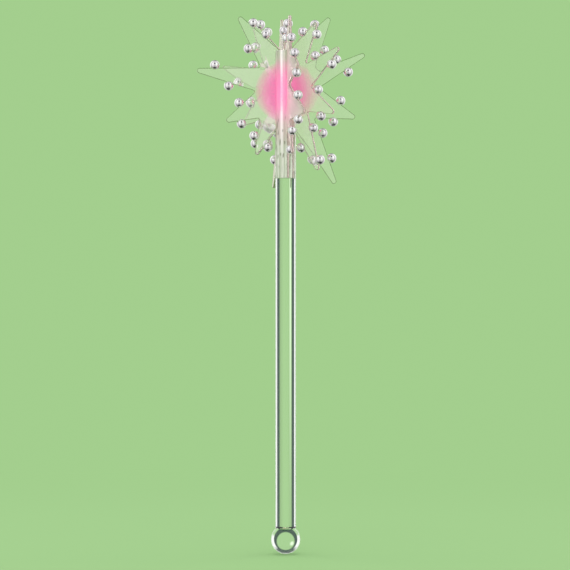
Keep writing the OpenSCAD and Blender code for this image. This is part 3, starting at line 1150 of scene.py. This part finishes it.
def build_world(colour):
    """An even background, seen by the camera and in metal and glass. The rest gets plain light."""
    world = bpy.data.worlds.new("studio")
    bpy.context.scene.world = world
    world.use_nodes = True
    tree = world.node_tree
    path = tree.nodes.new("ShaderNodeLightPath")
    seen = path.outputs["Is Camera Ray"]
    for ray in ("Is Glossy Ray", "Is Transmission Ray"):
        seen = maths(tree, "MAXIMUM", seen, path.outputs[ray])
    shown = mixed_colour(tree, seen, (0.6, 0.6, 0.6), colour)
    set_values(find_node(tree, "BACKGROUND"), Color=shown)


# Operators


class STARWAND_OT_rod(bpy.types.Operator):
    """Builds the clear rod and the prongs of its slotted top"""

    bl_idname = "starwand.rod"
    bl_label = "Clear rod"

    def execute(self, context):
        sizes, finish = context.scene.wand_sizes, context.scene.wand_finish
        materials = [
            shared_material("clear_acrylic", clear_finish, finish.acrylic),
            shared_material("sawn_acrylic", milky_finish, sizes, 0.6, (0.25, 0.5)),
            shared_material("milky_acrylic", milky_finish, sizes, 0.45, (0.08, 0.22)),
        ]
        add_piece("clear_rod", rod_mesh(sizes), materials, "clear_rod", "rod")
        return {"FINISHED"}


class STARWAND_OT_ball(bpy.types.Operator):
    """Builds the clear ball under the rod"""

    bl_idname = "starwand.ball"
    bl_label = "Clear ball"

    def execute(self, context):
        sizes, finish = context.scene.wand_sizes, context.scene.wand_finish
        material = shared_material("clear_acrylic", clear_finish, finish.acrylic)
        add_piece("clear_ball", ball_mesh(sizes), [material], "clear_rod", "ball_end")
        return {"FINISHED"}


class STARWAND_OT_plates(bpy.types.Operator):
    """Builds the three star plates and the pink sprayed on each"""

    bl_idname = "starwand.plates"
    bl_label = "Star plates"

    def execute(self, context):
        sizes, finish = context.scene.wand_sizes, context.scene.wand_finish
        colours = finish.pink_edge, finish.pink
        spray = shared_material("sprayed_pink", spray_finish, sizes, *colours)
        for plate, (name, mist) in enumerate(zip(PLATES, MIST)):
            star = Star(sizes, plate)
            sheet = [
                shared_material(f"star_sheet_{name}", sheet_finish, sizes, mist),
                shared_material(f"polished_round_{name}", round_finish, mist),
                shared_material(f"cut_edge_{name}", cut_finish, sizes, mist),
            ]
            mesh = plate_mesh(star)
            add_piece(f"clear_star_{name}", mesh, sheet, "pink_sheet", f"star_plate_{name}")
            add_piece(f"pink_fade_{name}", fade_mesh(star), [spray], "pink_sheet")
        return {"FINISHED"}


class STARWAND_OT_beads(bpy.types.Operator):
    """Builds the silver beads on the edges of the plates"""

    bl_idname = "starwand.beads"
    bl_label = "Silver beads"

    def execute(self, context):
        sizes, finish = context.scene.wand_sizes, context.scene.wand_finish
        material = shared_material("mirror_silver", silver_finish, finish.silver)
        for plate in range(len(PLATES)):
            for node, mesh in bead_meshes(Star(sizes, plate)):
                add_piece(f"silver_{node}", mesh, [material], "silver_bead", node)
        return {"FINISHED"}


class STARWAND_OT_stage(bpy.types.Operator):
    """Builds the floor, the tents and the dome round the wand, the lamps and the camera"""

    bl_idname = "starwand.stage"
    bl_label = "Stage"

    def execute(self, context):
        scene, colour = context.scene, context.scene.wand_finish.stage
        build_world(colour)
        add_floor(colour)
        rod, ball = CLEAR_PIECES
        ball_centre = (BALL_LOW.z + BALL_HIGH.z) / 2
        for surface in (
            (rod_tent_material(colour), TENT_RADIUS, 0, "glossy", "INCLUDE", rod),
            (ball_tent_material(colour), BALL_TENT_RADIUS, ball_centre, "glossy", "INCLUDE", ball),
            (backdrop_material(colour), BACKDROP_RADIUS, 0, "glossy", "EXCLUDE", rod, ball),
            (dome_material(), DOME_RADIUS, DOME_HEIGHT, "transmission", "EXCLUDE", rod, ball),
            (rim_material(), RIM_RADIUS, DOME_HEIGHT, "transmission", "INCLUDE", rod, ball),
        ):
            add_stage_surface(*surface)
        for lamp in LAMPS:
            softbox(*lamp)
        add_camera(scene)
        scene.view_settings.view_transform = "Standard"
        scene.cycles.use_denoising = True
        scene.cycles.max_bounces = 32
        scene.cycles.transmission_bounces = 32
        scene.cycles.transparent_max_bounces = 24
        scene.cycles.glossy_bounces = 10
        return {"FINISHED"}


class STARWAND_PT_panel(bpy.types.Panel):
    """Lists the wand's sizes, finishes and pieces"""

    bl_idname = "STARWAND_PT_panel"
    bl_label = "Star wand"
    bl_space_type = "VIEW_3D"
    bl_region_type = "UI"
    bl_category = "Star wand"

    def draw(self, context):
        for group in (context.scene.wand_sizes, context.scene.wand_finish):
            column = self.layout.column(align=True)
            for name in group.__annotations__:
                column.prop(group, name)
        column = self.layout.column(align=True)
        for operator in PIECES:
            column.operator(operator.bl_idname)


PIECES = (
    STARWAND_OT_rod,
    STARWAND_OT_ball,
    STARWAND_OT_plates,
    STARWAND_OT_beads,
    STARWAND_OT_stage,
)
CLASSES = (WandSizes, WandFinish, *PIECES, STARWAND_PT_panel)


def register():
    for item in CLASSES:
        bpy.utils.register_class(item)
    bpy.types.Scene.wand_sizes = PointerProperty(type=WandSizes)
    bpy.types.Scene.wand_finish = PointerProperty(type=WandFinish)


def unregister():
    del bpy.types.Scene.wand_finish
    del bpy.types.Scene.wand_sizes
    for item in reversed(CLASSES):
        bpy.utils.unregister_class(item)


def main():
    """Builds every piece in order."""
    register()
    bpy.ops.starwand.rod()
    bpy.ops.starwand.ball()
    bpy.ops.starwand.plates()
    bpy.ops.starwand.beads()
    bpy.ops.starwand.stage()


if __name__ == "__main__":
    main()
